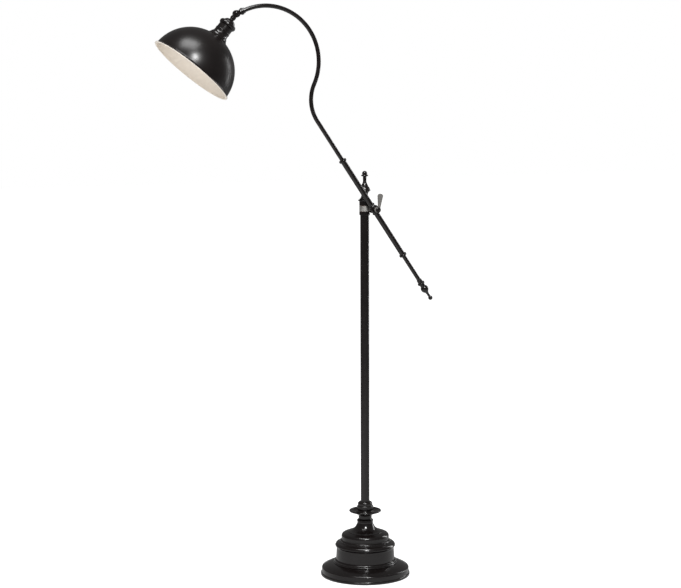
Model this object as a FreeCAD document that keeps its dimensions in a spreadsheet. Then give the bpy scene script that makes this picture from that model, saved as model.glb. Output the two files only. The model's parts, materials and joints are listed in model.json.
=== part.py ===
import FreeCAD, Part
import math
import os
import re

import Sketcher

# A floor lamp with a heavy turned base, a slim stem and a long curved arm that
# a lever clamps beside the stem's top. Millimetres, +Z up. The origin is on the
# floor under the stem. The arm lies in a plane of constant Y in front of the
# stem, with the shade towards -X and the turned tail towards +X.

# --------------------------------------------------------------------------
# Driving sizes, each written once. Angles are in degrees.
# --------------------------------------------------------------------------
SIZES = {
    # base: pad, plate and weight
    "pad_radius": 119.0,
    "pad_thickness": 2.0,
    "plate_radius": 123.4,
    "plate_thickness": 2.0,
    "plate_hole_radius": 20.0,
    "weight_radius": 76.0,
    "weight_height": 58.0,
    "weight_recess": 14.0,
    "weight_recess_radius": 19.0,
    # base shell, from the floor up
    "shell_wall": 1.6,
    "shell_lift": 1.0,
    "foot_radius": 127.0,
    "foot_band_top": 6.0,
    "foot_step_radius": 124.3,
    "foot_edge_height": 20.0,
    "foot_edge_round": 4.0,
    "foot_slope_top": 35.5,
    "foot_slope_bow": 75.0,
    "foot_bead_radius": 89.2,
    "foot_bead_height": 4.6,
    "drum_bead_radius": 87.4,
    "drum_bead_height": 4.8,
    "drum_foot_radius": 83.6,
    "drum_head_radius": 81.8,
    "drum_top": 75.5,
    "flange_radius": 85.2,
    "flange_low": 83.0,
    "flange_high": 89.0,
    "flange_deck": 93.5,
    "flange_deck_radius": 79.5,
    "step_foot_radius": 71.4,
    "step_foot_height": 97.0,
    "step_ring_radius": 69.8,
    "step_ring_height": 4.4,
    "step_wall_radius": 67.8,
    "step_groove": 1.0,
    "step_top": 113.5,
    "crown_radius": 60.0,
    "crown_height": 121.0,
    "crown_round": 9.5,
    "deck_radius": 49.5,
    "deck_height": 124.5,
    # turned neck, saucer and cup on the base
    "neck_foot_radius": 48.4,
    "neck_foot_edge": 1.6,
    "neck_waist_radius": 22.3,
    "neck_waist_low": 150.5,
    "neck_sweep": 33.0,
    "neck_bead_low": 154.0,
    "neck_bead_high": 160.4,
    "neck_radius": 18.8,
    "neck_low": 163.4,
    "neck_high": 169.5,
    "neck_head_radius": 21.8,
    "neck_head": 175.0,
    "saucer_radius": 45.8,
    "saucer_foot_radius": 24.0,
    "saucer_lip_low": 183.2,
    "saucer_lip_high": 187.0,
    "saucer_lip_width": 2.6,
    "saucer_floor": 181.0,
    "saucer_floor_radius": 27.0,
    "cup_foot_radius": 24.6,
    "cup_foot_height": 3.2,
    "cup_waist_radius": 21.5,
    "cup_belly_radius": 23.4,
    "cup_belly_low": 191.0,
    "cup_belly_high": 198.4,
    "cup_ring_radius": 21.0,
    "cup_ring_low": 201.4,
    "cup_ring_high": 206.6,
    "cup_top": 212.6,
    "cup_mouth_radius": 13.6,
    "stem_seat": 192.0,
    "stem_nut_width": 18.0,
    # stem and what holds the base together
    "stem_radius": 12.5,
    "stem_wall": 1.5,
    "stem_top": 1037.5,
    "tie_radius": 5.0,
    "tie_bore": 3.2,
    "tie_low": 5.0,
    "tie_socket": 12.0,
    "nut_width": 17.0,
    "nut_height": 8.0,
    "washer_radius": 17.0,
    "washer_thickness": 2.5,
    "fit_gap": 0.06,
    "edge_break": 0.7,
    "seat_gap": 0.1,
    "plate_screw_circle": 58.0,
    "plate_screw_radius": 2.5,
    "plate_screw_head": 4.2,
    "plate_screw_length": 14.0,
    # head of the stem
    "collar_radius": 15.1,
    "collar_low": 1032.0,
    "collar_high": 1042.0,
    "collar_roof": 3.6,
    "journal_radius": 9.5,
    "journal_gap": 0.05,
    "plug_depth": 44.0,
    "thrust_thickness": 0.5,
    "strap_height": 15.4,
    "cap_height": 12.0,
    "cap_bead_radius": 18.0,
    "cap_bead_height": 4.4,
    "cap_bore_radius": 6.0,
    "stud_radius": 4.0,
    # turned finial on the stem, heights from its seat
    "finial_foot_radius": 15.0,
    "finial_foot": 1.6,
    "finial_waist_radius": 9.3,
    "finial_waist_low": 11.5,
    "finial_waist_high": 15.0,
    "finial_bell_radius": 15.4,
    "finial_bell_low": 24.0,
    "finial_bell_high": 28.0,
    "finial_shoulder_radius": 9.4,
    "finial_shoulder": 37.5,
    "finial_ring_radius": 8.9,
    "finial_ring_high": 40.5,
    "finial_neck_radius": 5.0,
    "finial_neck_low": 51.0,
    "finial_neck_high": 64.0,
    "finial_button_radius": 9.0,
    "finial_button_height": 5.0,
    "finial_ball_radius": 7.2,
    "finial_ball_foot": 6.4,
    # strap and its ears
    "split_gap": 3.0,
    "ear_thickness": 9.4,
    "ear_round": 7.6,
    # arm: where it pivots and how it lies
    "pivot_reach": 16.6,
    "arm_offset": 26.5,
    "arm_lean": 33.6,
    "eye_radius": 12.3,
    "eye_front": 14.2,
    "eye_back": 12.0,
    "eye_boss_radius": 5.8,
    "pivot_pin_radius": 3.0,
    "washer_gap": 0.15,
    "fibre_thickness": 1.2,
    "acorn_radius": 6.0,
    "acorn_height": 9.5,
    "bush_wall": 1.25,
    "bush_flange": 1.9,
    "bush_flange_radius": 10.4,
    "bush_slot": 1.6,
    # arm tubes
    "rod_radius": 5.8,
    "rod_wall": 1.2,
    "sleeve_radius": 7.5,
    "sleeve_up": 166.0,
    "sleeve_down": 161.6,
    "ring_radius": 10.8,
    "ring_thickness": 5.6,
    "ring_edge": 1.2,
    "grub_radius": 1.5,
    "straight_up": 296.7,
    "straight_down": 255.0,
    "crook_radius": 105.0,
    "crook_angle": 58.0,
    "bow_radius": 150.0,
    "bow_angle": 137.0,
    "tube_end": 11.0,
    # turned tail, distances below the pivot along the arm
    "ferrule_start": 246.0,
    "ferrule_radius": 7.4,
    "tail_ring_start": 255.8,
    "tail_ring_end": 261.5,
    "tail_ring_radius": 10.2,
    "tail_neck_radius": 7.2,
    "bulb_start": 270.0,
    "bulb_end": 285.0,
    "bulb_radius": 11.4,
    "cord_bore": 3.0,
    "tail_stem_radius": 3.8,
    "tail_stem_start": 300.0,
    "tail_ball_centre": 309.5,
    "tail_ball_radius": 6.2,
    "inlet_radius": 3.6,
    "inlet_flange_radius": 5.2,
    "inlet_flange": 1.4,
    "inlet_bore": 2.5,
    # clamping lever, distances in front of the pivot
    "lever_screw_radius": 3.0,
    "pad_height": 2.2,
    "hub_start": 14.7,
    "hub_neck_radius": 6.4,
    "hub_neck_end": 17.4,
    "hub_radius": 7.6,
    "handle_back": 30.6,
    "handle_thickness": 7.0,
    "handle_boss_radius": 8.2,
    "handle_bore": 4.0,
    "knob_radius": 7.4,
    "knob_thickness": 4.6,
    "root_reach": 5.0,
    "root_rise": 13.0,
    "root_radius": 3.4,
    "grip_reach": 7.8,
    "grip_rise": 46.0,
    "grip_radius": 7.2,
    # knuckle
    "knuckle_radius": 9.8,
    "cheek_thickness": 5.4,
    "cheek_gap": 0.35,
    "web_width": 11.0,
    "knuckle_reach": 16.4,
    "barrel_start": 10.5,
    "barrel_end": 25.0,
    "barrel_radius": 7.8,
    "barrel_ring_radius": 9.6,
    "barrel_ring_start": 14.4,
    "barrel_ring_height": 5.4,
    "knuckle_pin_radius": 2.5,
    "pin_head_radius": 5.2,
    "pin_head_height": 3.0,
    "pin_slot": 1.2,
    "pin_slot_depth": 1.3,
    "pin_nut_width": 8.0,
    "pin_nut_height": 3.4,
    "spring_thickness": 1.0,
    "spring_radius": 5.0,
    # head: distances below the knuckle along the head's own axis
    "head_lean": 40.2,
    "neck_collar_radius": 7.5,
    "neck_collar_end": 17.2,
    "head_neck_radius": 6.3,
    "head_neck_end": 23.0,
    "nipple_radius": 4.6,
    "nipple_end": 33.0,
    "nipple_bore": 3.2,
    "socket_cap_wall": 1.3,
    "cap_crown_radius": 8.4,
    "cap_shoulder_radius": 13.4,
    "cap_shoulder": 25.6,
    "cap_side_radius": 17.0,
    "cap_side": 30.6,
    "cap_tail": 48.4,
    "cap_nut_radius": 8.0,
    "cap_nut_height": 3.0,
    "brim_radius": 24.4,
    "brim_start": 32.4,
    "brim_end": 45.0,
    "brim_swell": 3.4,
    "holder_radius": 20.4,
    "holder_wall": 1.2,
    "holder_end": 62.0,
    "holder_ring_radius": 21.6,
    "holder_ring_height": 3.0,
    "gallery_top_radius": 20.8,
    "gallery_neck": 68.0,
    "gallery_waist_radius": 24.8,
    "gallery_waist": 76.0,
    "gallery_skirt_radius": 28.6,
    "gallery_wall": 1.3,
    # shade
    "mouth_distance": 199.0,
    "shade_radius": 118.0,
    "shade_wall": 1.0,
    "shade_hole_radius": 20.2,
    "lip_radius": 122.8,
    "lip_start": 7.0,
    "lip_thickness": 2.6,
    # lampholder inside the head
    "insulator_radius": 18.2,
    "insulator_start": 50.0,
    "skirt_radius": 19.6,
    "insulator_end": 101.0,
    "lamp_bore": 13.3,
    "liner_wall": 0.7,
    "lamp_seat": 70.0,
    "liner_start": 76.0,
    "liner_end": 99.5,
    "lead_bore": 3.0,
    "shade_ring_radius": 27.0,
    "shade_ring_height": 6.5,
    "contact_width": 7.0,
    "contact_length": 17.0,
    "contact_thickness": 0.8,
    "terminal_radius": 2.6,
    "terminal_height": 3.0,
    "terminal_spread": 11.0,
}

# Sizes that follow from the ones above.
FOLLOWS = {
    "plate_low": "pad_thickness",
    "plate_high": "plate_low + plate_thickness",
    "weight_low": "plate_high + seat_gap",
    "weight_high": "weight_low + weight_height",
    "weight_web": "weight_low + weight_recess",
    "base_washer_low": "weight_web - seat_gap - washer_thickness",
    "base_nut_low": "base_washer_low - seat_gap - nut_height",
    "foot_bead_top": "foot_slope_top + foot_bead_height",
    "drum_bead_top": "foot_bead_top + drum_bead_height",
    "step_ring_top": "step_foot_height + step_ring_height",
    "tie_clear": "tie_radius + 2 * seat_gap",
    "stem_bore": "stem_radius - stem_wall",
    "strap_low": "collar_high + thrust_thickness + 2 * seat_gap",
    "strap_high": "strap_low + strap_height",
    "cap_low": "strap_high + thrust_thickness + 2 * seat_gap",
    "cap_high": "cap_low + cap_height",
    "cap_top": "cap_high + cap_bead_height",
    "finial_seat": "cap_top + seat_gap",
    "finial_ball_low": "finial_seat + finial_neck_high + finial_button_height + 0.7",
    "finial_ball_centre": "finial_ball_low + sqrt(finial_ball_radius^2 - finial_ball_foot^2)",
    "pivot_height": "strap_low + strap_height / 2",
    "ear_front": "split_gap / 2 + ear_thickness",
    "sleeve_bore": "rod_radius + fit_gap",
    "bush_bore": "sleeve_radius + fit_gap",
    "bush_radius": "bush_bore + bush_wall",
    "bush_reach": "eye_radius + 2 * seat_gap",
    "eye_bore": "bush_radius + fit_gap",
    "tail_ball_end": "tail_ball_centre - sqrt(tail_ball_radius^2 - (tail_stem_radius - 0.4)^2)",
    "pin_stop": "arm_offset - ear_front - fibre_thickness - 2 * washer_gap",
    "ear_back": "arm_offset + ear_front",
    "acorn_seat": "ear_back + fibre_thickness + 2 * washer_gap",
    "pad_start": "bush_radius + seat_gap",
    "screw_tip": "pad_start + pad_height + seat_gap",
    "handle_front": "handle_back + handle_thickness",
    "knob_back": "handle_front + seat_gap",
    "knob_front": "knob_back + knob_thickness",
    "barrel_ring_top": "barrel_ring_start + barrel_ring_height",
    "cheek_out": "cheek_gap / 2 + cheek_thickness",
    "cap_start": "head_neck_end + seat_gap",
    "holder_start": "brim_end + seat_gap",
    "gallery_start": "holder_end + seat_gap",
    "shade_bore": "shade_radius - shade_wall",
    "shade_top": "mouth_distance - sqrt(shade_radius^2 - shade_hole_radius^2)",
    "shade_under": "mouth_distance - sqrt(shade_bore^2 - shade_hole_radius^2)",
    "skirt_bore": "gallery_skirt_radius - gallery_wall",
    "skirt_end": "mouth_distance - sqrt(shade_radius^2 - skirt_bore^2) - 3 * seat_gap",
    "ring_start": "mouth_distance - sqrt(shade_bore^2 - shade_ring_radius^2) + 3 * seat_gap",
    "liner_radius": "lamp_bore + liner_wall",
}

WORD = re.compile(r"[a-z][a-z_]*")


def spelled_out(size):
    """The expression with every following size replaced by its own."""
    def put(match):
        word = match.group(0)
        if word in FOLLOWS:
            return "(" + spelled_out(FOLLOWS[word]) + ")"
        return word
    return WORD.sub(put, size)


def bound(size):
    """The expression as the document's objects read it from the sheet."""
    def put(match):
        word = match.group(0)
        return "Sizes." + word if word in SIZES else word
    return WORD.sub(put, spelled_out(size))


def number(size):
    """The expression's value now."""
    names = dict(SIZES, sqrt=math.sqrt)
    words = WORD.findall(spelled_out(size))
    missing = [word for word in words if word not in names]
    if missing:
        raise NameError(f"no size is named {missing}")
    return float(sheet.evalExpression(spelled_out(size)))


document = FreeCAD.newDocument("FloorLamp")
sheet = document.addObject("Spreadsheet::Sheet", "Sizes")
for row, (alias, value) in enumerate(SIZES.items(), start=1):
    sheet.set(f"A{row}", alias.replace("_", " "))
    sheet.set(f"B{row}", str(value))
    sheet.setAlias(f"B{row}", alias)
document.recompute()

PIECES = []


# --------------------------------------------------------------------------
# Ways of making pieces
# --------------------------------------------------------------------------
def new_piece(label):
    """An empty body with its own label, kept for writing."""
    piece = document.addObject("PartDesign::Body", label)
    piece.Label = label
    PIECES.append(piece)
    return piece


def plane(piece, role):
    for feature in piece.Origin.OriginFeatures:
        if feature.Role == role:
            return feature
    raise LookupError(role)


def new_sketch(piece, name, role, offset=None):
    """A sketch on one of the piece's own planes, moved along its normal by offset."""
    sketch = piece.newObject("Sketcher::SketchObject", name)
    sketch.AttachmentSupport = (plane(piece, role), [""])
    sketch.MapMode = "FlatFace"
    if offset is not None:
        sketch.setExpression("AttachmentOffset.Base.z", bound(offset))
    return sketch


def fix(sketch, kind, size, *geometry):
    """A named, sheet-driven dimension of the sketch."""
    value = number(size)
    if kind == "Angle":
        value = math.radians(value)
    where = sketch.addConstraint(Sketcher.Constraint(kind, *geometry, value))
    name = f"{kind}_{where}"
    sketch.renameConstraint(where, name)
    sketch.setExpression("Constraints." + name, bound(size))


def fix_point(sketch, geometry, end, across, up):
    """Hold one end of a line or arc at the given distances from the sketch's origin."""
    if across == "0":
        sketch.addConstraint(Sketcher.Constraint("PointOnObject", geometry, end, -2))
    else:
        fix(sketch, "DistanceX", across, -1, 1, geometry, end)
    if up == "0":
        sketch.addConstraint(Sketcher.Constraint("PointOnObject", geometry, end, -1))
    else:
        fix(sketch, "DistanceY", up, -1, 1, geometry, end)


def arc_between(start, end, radius, left):
    """The short arc from start to end, bulging to the left or the right of travel."""
    chord = end - start
    half = chord.Length / 2
    if radius < half:
        raise ValueError(f"radius {radius} is too small for {start} to {end}")
    aside = FreeCAD.Vector(chord.y, -chord.x, 0).normalize()
    if not left:
        aside = aside * -1
    centre = start + chord * 0.5 + aside * math.sqrt(radius * radius - half * half)
    turns = [math.atan2(spot.y - centre.y, spot.x - centre.x) for spot in (start, end)]
    if left:
        turns.reverse()
    if turns[1] < turns[0]:
        turns[1] += 2 * math.pi
    whole = Part.Circle(centre, FreeCAD.Vector(0, 0, 1), radius)
    return Part.ArcOfCircle(whole, turns[0], turns[1])


def outline(sketch, corners):
    """A closed outline. A corner is (across, up) or (across, up, radius): with a
    radius, the edge that arrives at the corner is an arc of that radius, and a
    leading minus makes it bulge to the left of travel."""
    spots = [FreeCAD.Vector(number(c[0]), number(c[1]), 0) for c in corners]
    count = len(corners)
    begins = []
    ends = []
    for index in range(count):
        start = spots[index]
        end = spots[(index + 1) % count]
        arrival = corners[(index + 1) % count]
        left = len(arrival) == 3 and arrival[2].startswith("-")
        if len(arrival) == 3:
            arc = arc_between(start, end, number(arrival[2].lstrip("-")), left)
            sketch.addGeometry(arc, False)
        else:
            sketch.addGeometry(Part.LineSegment(start, end), False)
        # An arc runs anticlockwise, so one that bulges left starts at its far end.
        begins.append(2 if left else 1)
        ends.append(1 if left else 2)
    for index in range(count):
        after = (index + 1) % count
        sketch.addConstraint(
            Sketcher.Constraint("Coincident", index, ends[index], after, begins[after])
        )
    for index, corner in enumerate(corners):
        fix_point(sketch, index, begins[index], corner[0], corner[1])
    for index in range(count):
        arrival = corners[(index + 1) % count]
        if len(arrival) == 3:
            fix(sketch, "Radius", arrival[2].lstrip("-"), index)


def dome(reach, rise):
    """Radius of the ball whose cap reaches so far from the axis over so much height."""
    return f"((({reach})^2 + ({rise})^2) / (2 * ({rise})))"


def circle(sketch, radius, across="0", up="0"):
    centre = FreeCAD.Vector(number(across), number(up), 0)
    axis = FreeCAD.Vector(0, 0, 1)
    index = sketch.addGeometry(Part.Circle(centre, axis, number(radius)), False)
    fix(sketch, "Radius", radius, index)
    fix_point(sketch, index, 3, across, up)
    return index


def revolve(piece, name, corners, cut=False, about="Z"):
    """Turn an outline about an axis of the piece. Corners are (radius, height) about
    Z, or (radius, distance to the front) about Y."""
    if about == "Z":
        sketch = new_sketch(piece, name + "_profile", "XZ_Plane")
    else:
        sketch = new_sketch(piece, name + "_profile", "YZ_Plane")
        corners = [("-(" + c[1] + ")", c[0]) + tuple(c[2:]) for c in corners]
    outline(sketch, corners)
    kind = "PartDesign::Groove" if cut else "PartDesign::Revolution"
    feature = piece.newObject(kind, name)
    feature.Profile = sketch
    feature.ReferenceAxis = (sketch, ["V_Axis" if about == "Z" else "H_Axis"])
    feature.Angle = 360
    return feature


def turned(label, corners, about="Z"):
    """A piece turned on a lathe from one outline."""
    piece = new_piece(label)
    revolve(piece, label + "_turn", corners, about=about)
    return piece


def ring(label, inner, outer, low, high, about="Z"):
    """A plain turned ring between two heights."""
    corners = [(inner, low), (outer, low), (outer, high), (inner, high)]
    return turned(label, corners, about)


def extrude(piece, name, sketch, length, back=False, both=False, cut=False):
    """Pad or pocket a sketch; back turns it the other way, both makes it symmetric."""
    feature = piece.newObject("PartDesign::Pocket" if cut else "PartDesign::Pad", name)
    feature.Profile = sketch
    feature.setExpression("Length", bound(length))
    feature.Reversed = back
    if both:
        feature.Midplane = True
    return feature


def drill(piece, name, role, radius, length, across="0", up="0", both=True, back=False, offset=None):
    """Cut a round hole square to one of the piece's planes."""
    sketch = new_sketch(piece, name + "_circle", role, offset)
    circle(sketch, radius, across, up)
    return extrude(piece, name, sketch, length, back=back, both=both, cut=True)


def place(piece, across="0", depth="0", height="0", axis=None, angle="0"):
    """Move the piece to its spot, turned by angle about axis."""
    if axis is not None:
        start = FreeCAD.Rotation(FreeCAD.Vector(*axis), number(angle))
        piece.Placement = FreeCAD.Placement(FreeCAD.Vector(), start)
        piece.setExpression("Placement.Rotation.Angle", bound(angle) + " * 1 deg")
    for letter, size in (("x", across), ("y", depth), ("z", height)):
        if size != "0":
            piece.setExpression("Placement.Base." + letter, bound(size))


def place_on_arm(piece):
    """Origin at the pivot, +Z along the arm towards the shade."""
    place(piece, "pivot_reach", "-arm_offset", "pivot_height", (0, -1, 0), "arm_lean")


def place_on_pivot(piece):
    """Origin at the pivot, level with the stem."""
    place(piece, "pivot_reach", "-arm_offset", "pivot_height")


# The arm's tube leans by arm_lean, bends back over the stem by crook_angle and then
# bows over by bow_angle. These give its end and, a little further on, the knuckle.
SECOND_TURN = "(crook_angle - arm_lean)"
THIRD_TURN = "(crook_angle - arm_lean - bow_angle)"
TUBE_END_X = (
    "(pivot_reach - straight_up * sin(arm_lean)"
    " + crook_radius * (cos(arm_lean) - cos" + SECOND_TURN + ")"
    " + bow_radius * (cos" + THIRD_TURN + " - cos" + SECOND_TURN + ")"
    " + tube_end * sin" + THIRD_TURN + ")"
)
TUBE_END_Z = (
    "(pivot_height + straight_up * cos(arm_lean)"
    " + crook_radius * (sin" + SECOND_TURN + " + sin(arm_lean))"
    " + bow_radius * (sin" + SECOND_TURN + " - sin" + THIRD_TURN + ")"
    " + tube_end * cos" + THIRD_TURN + ")"
)
KNUCKLE_X = TUBE_END_X + " + knuckle_reach * sin" + THIRD_TURN
KNUCKLE_Z = TUBE_END_Z + " + knuckle_reach * cos" + THIRD_TURN


def place_on_tube_end(piece):
    """Origin at the knuckle, +Z back along the tube's end."""
    turn = "(180 + crook_angle - arm_lean - bow_angle)"
    place(piece, KNUCKLE_X, "-arm_offset", KNUCKLE_Z, (0, 1, 0), turn)


def place_on_head(piece):
    """Origin at the knuckle, -Z along the head's axis to the shade's mouth."""
    place(piece, KNUCKLE_X, "-arm_offset", KNUCKLE_Z, (0, 1, 0), "head_lean")


# --------------------------------------------------------------------------
# Base
# --------------------------------------------------------------------------
def make_base():
    ring("felt_pad", "0", "pad_radius", "0", "pad_thickness - seat_gap")

    plate = ring("base_plate", "plate_hole_radius", "plate_radius", "plate_low", "plate_high")
    for turn in range(3):
        across, along = screw_spot(turn)
        drill(plate, f"plate_hole_{turn + 1}", "XY_Plane", "plate_screw_head + seat_gap",
              "2 * (plate_high + 1)", across, along)

    weight = turned("base_weight", [
        ("tie_clear + 2", "weight_web"), ("weight_recess_radius", "weight_web"),
        ("weight_recess_radius", "weight_low"), ("weight_radius", "weight_low"),
        ("weight_radius", "weight_high - 6"), ("weight_radius - 6", "weight_high", "6.1"),
        ("tie_clear + 2", "weight_high"),
    ])
    for turn in range(3):
        across, along = screw_spot(turn)
        drill(weight, f"weight_hole_{turn + 1}", "XY_Plane", "plate_screw_radius + fit_gap",
              "2 * (plate_low + plate_screw_length + 1)", across, along)

    make_base_shell()


def screw_spot(turn):
    """Where one of the plate's three screws stands."""
    across = ("plate_screw_circle", "-plate_screw_circle / 2", "-plate_screw_circle / 2")
    along = ("0", "plate_screw_circle * sqrt(3) / 2", "-plate_screw_circle * sqrt(3) / 2")
    return across[turn], along[turn]


def shell_corners():
    """Outside of the base shell, from its bottom edge to its deck."""
    return [
        ("foot_radius", "shell_lift"),
        ("foot_radius", "foot_band_top"),
        ("foot_step_radius", "foot_band_top + 2.4", "-2.8"),
        ("foot_step_radius", "foot_edge_height"),
        ("foot_step_radius - foot_edge_round", "foot_edge_height + foot_edge_round",
         "foot_edge_round * 1.02"),
        ("foot_bead_radius + 0.6", "foot_slope_top", "foot_slope_bow"),
        ("foot_bead_radius - 1.4", "foot_bead_top", "foot_bead_height * 0.62"),
        ("drum_bead_radius - 4", "drum_bead_top", "drum_bead_height * 0.78"),
        ("drum_foot_radius", "drum_bead_top + 1.6", "-2.4"),
        ("drum_head_radius", "drum_top"),
        ("flange_radius - 0.8", "flange_low", "-9"),
        ("flange_radius - 0.4", "flange_high", "4.4"),
        ("flange_deck_radius", "flange_deck", "7"),
        ("step_foot_radius", "step_foot_height", "-14"),
        ("step_ring_radius - 1.2", "step_ring_top", "step_ring_height * 0.74"),
        ("step_wall_radius - step_groove", "step_ring_top + 1.4"),
        ("step_wall_radius - step_groove", "step_ring_top + 3"),
        ("step_wall_radius", "step_ring_top + 4.2", "1.2"),
        ("step_wall_radius", "step_top"),
        ("crown_radius", "crown_height", "crown_round"),
        ("deck_radius", "deck_height", "46"),
    ]


def make_base_shell():
    """A spun shell: a solid outside form, hollowed by a plainer stepped form whose
    small ledge rests on the edge of the plate."""
    shell = new_piece("base_shell")
    top = "deck_height - shell_wall"
    revolve(shell, "shell_form", shell_corners() + [
        ("tie_clear", "deck_height"), ("tie_clear", "shell_lift"),
    ])
    revolve(shell, "shell_hollow", [
        ("0", "0"),
        ("plate_radius + 3 * seat_gap", "0"),
        ("plate_radius + 3 * seat_gap", "plate_high + seat_gap"),
        ("foot_step_radius - 1.3 * shell_wall", "plate_high + seat_gap"),
        ("foot_step_radius - 1.3 * shell_wall", "foot_edge_height - 1"),
        ("foot_bead_radius - 2.6 * shell_wall", "foot_slope_top - 2 * shell_wall"),
        ("drum_head_radius - shell_wall", "foot_bead_top"),
        ("drum_head_radius - shell_wall", "flange_deck - 1.5 * shell_wall"),
        ("step_wall_radius - step_groove - shell_wall", "step_foot_height - shell_wall"),
        ("step_wall_radius - step_groove - shell_wall", "step_top"),
        ("crown_radius - shell_wall", "crown_height - 1.6 * shell_wall"),
        ("deck_radius", top),
        ("0", top),
    ], cut=True)


def hexagon(sketch, across_flats, across="0", up="0"):
    """Six equal sides, held by the distance across the flats."""
    radius = number(across_flats) / math.sqrt(3)
    centre = FreeCAD.Vector(number(across), number(up), 0)
    spots = []
    for side in range(6):
        angle = math.radians(60 * side)
        spots.append(centre + FreeCAD.Vector(math.cos(angle), math.sin(angle), 0) * radius)
    for side in range(6):
        sketch.addGeometry(Part.LineSegment(spots[side], spots[(side + 1) % 6]), False)
    whole = Part.Circle(centre, FreeCAD.Vector(0, 0, 1), radius)
    guide = sketch.addGeometry(whole, True)
    fix_point(sketch, guide, 3, across, up)
    for side in range(6):
        sketch.addConstraint(Sketcher.Constraint("Coincident", side, 2, (side + 1) % 6, 1))
        sketch.addConstraint(Sketcher.Constraint("PointOnObject", side, 1, guide))
        if side:
            sketch.addConstraint(Sketcher.Constraint("Equal", 0, side))
    sketch.addConstraint(Sketcher.Constraint("Horizontal", 0, 1, guide, 3))
    fix(sketch, "Radius", across_flats + " / sqrt(3)", guide)


def make_base_fasteners():
    """The rod that draws the stack together, its nut in the weight's recess, and the
    screws that hold the plate to the weight."""
    turned("tie_rod", [
        ("tie_bore", "tie_low"), ("tie_radius - 0.5", "tie_low"),
        ("tie_radius", "tie_low + 0.5"),
        ("tie_radius", "stem_seat + tie_socket"),
        ("tie_bore", "stem_seat + tie_socket"),
    ])
    ring("base_washer", "tie_radius + fit_gap", "washer_radius",
         "base_washer_low", "base_washer_low + washer_thickness")
    nut = new_piece("base_nut")
    sketch = new_sketch(nut, "nut_hexagon", "XY_Plane", "base_nut_low")
    hexagon(sketch, "nut_width")
    extrude(nut, "nut_body", sketch, "nut_height")
    drill(nut, "nut_bore", "XY_Plane", "tie_radius + fit_gap", "4 * nut_width")

    tube_nut = new_piece("stem_nut")
    sketch = new_sketch(tube_nut, "stem_nut_hexagon", "XY_Plane", "stem_seat + seat_gap")
    hexagon(sketch, "stem_nut_width")
    extrude(tube_nut, "stem_nut_body", sketch, "nut_height")
    drill(tube_nut, "stem_nut_bore", "XY_Plane", "tie_radius + fit_gap", "3 * stem_seat")

    for turn in range(3):
        across, along = screw_spot(turn)
        low = "plate_low + 0.2"
        screw = turned(f"plate_screw_{turn + 1}", [
            ("0", low + " + 0.8"),
            ("1.2", low + " + 0.8"),
            ("1.2", low),
            ("plate_screw_head", low),
            ("plate_screw_head", "plate_high"),
            ("plate_screw_radius", "plate_high"),
            ("plate_screw_radius", "plate_low + plate_screw_length - 1"),
            ("plate_screw_radius - 1", "plate_low + plate_screw_length"),
            ("0", "plate_low + plate_screw_length"),
        ])
        place(screw, across, along)


# --------------------------------------------------------------------------
# Turnings between base and stem
# --------------------------------------------------------------------------
def make_turnings():
    tie = "tie_clear"
    turned("neck_turning", [
        (tie, "deck_height + seat_gap"),
        ("neck_foot_radius", "deck_height + seat_gap"),
        ("neck_foot_radius", "deck_height + neck_foot_edge"),
        ("neck_waist_radius", "neck_waist_low", "-neck_sweep"),
        ("neck_waist_radius", "neck_bead_low"),
        ("neck_waist_radius - 1.2", "neck_bead_high", "4"),
        ("neck_radius", "neck_low", "-4"),
        ("neck_radius", "neck_high"),
        ("neck_head_radius", "neck_head", "-8"),
        (tie, "neck_head"),
    ])

    turned("saucer", [
        (tie, "neck_head + seat_gap"),
        ("saucer_foot_radius", "neck_head + seat_gap"),
        ("saucer_radius - 1.2", "saucer_lip_low", "-110"),
        ("saucer_radius - 1.2", "saucer_lip_high", "2.3"),
        ("saucer_radius - saucer_lip_width - 1.2", "saucer_lip_high"),
        ("saucer_floor_radius", "saucer_floor", "-48"),
        (tie, "saucer_floor"),
    ])

    turned("stem_cup", [
        (tie, "saucer_floor + seat_gap"),
        ("cup_foot_radius", "saucer_floor + seat_gap"),
        ("cup_foot_radius", "saucer_floor + cup_foot_height", "2.4"),
        ("cup_waist_radius", "saucer_floor + cup_foot_height + 2.2", "-3"),
        ("cup_belly_radius", "cup_belly_low", "-7"),
        ("cup_belly_radius", "cup_belly_high"),
        ("cup_ring_radius", "cup_ring_low", "-4.6"),
        ("cup_ring_radius", "cup_ring_high"),
        ("cup_mouth_radius", "cup_top", "8.4"),
        ("stem_radius + fit_gap", "cup_top"),
        ("stem_radius + fit_gap", "stem_seat"),
        (tie, "stem_seat"),
    ])


# --------------------------------------------------------------------------
# Stem and its head
# --------------------------------------------------------------------------
def thrust_washer(label, low):
    ring(label, "journal_radius + fit_gap", "collar_radius - 0.9", low, low + " + thrust_thickness")


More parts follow.
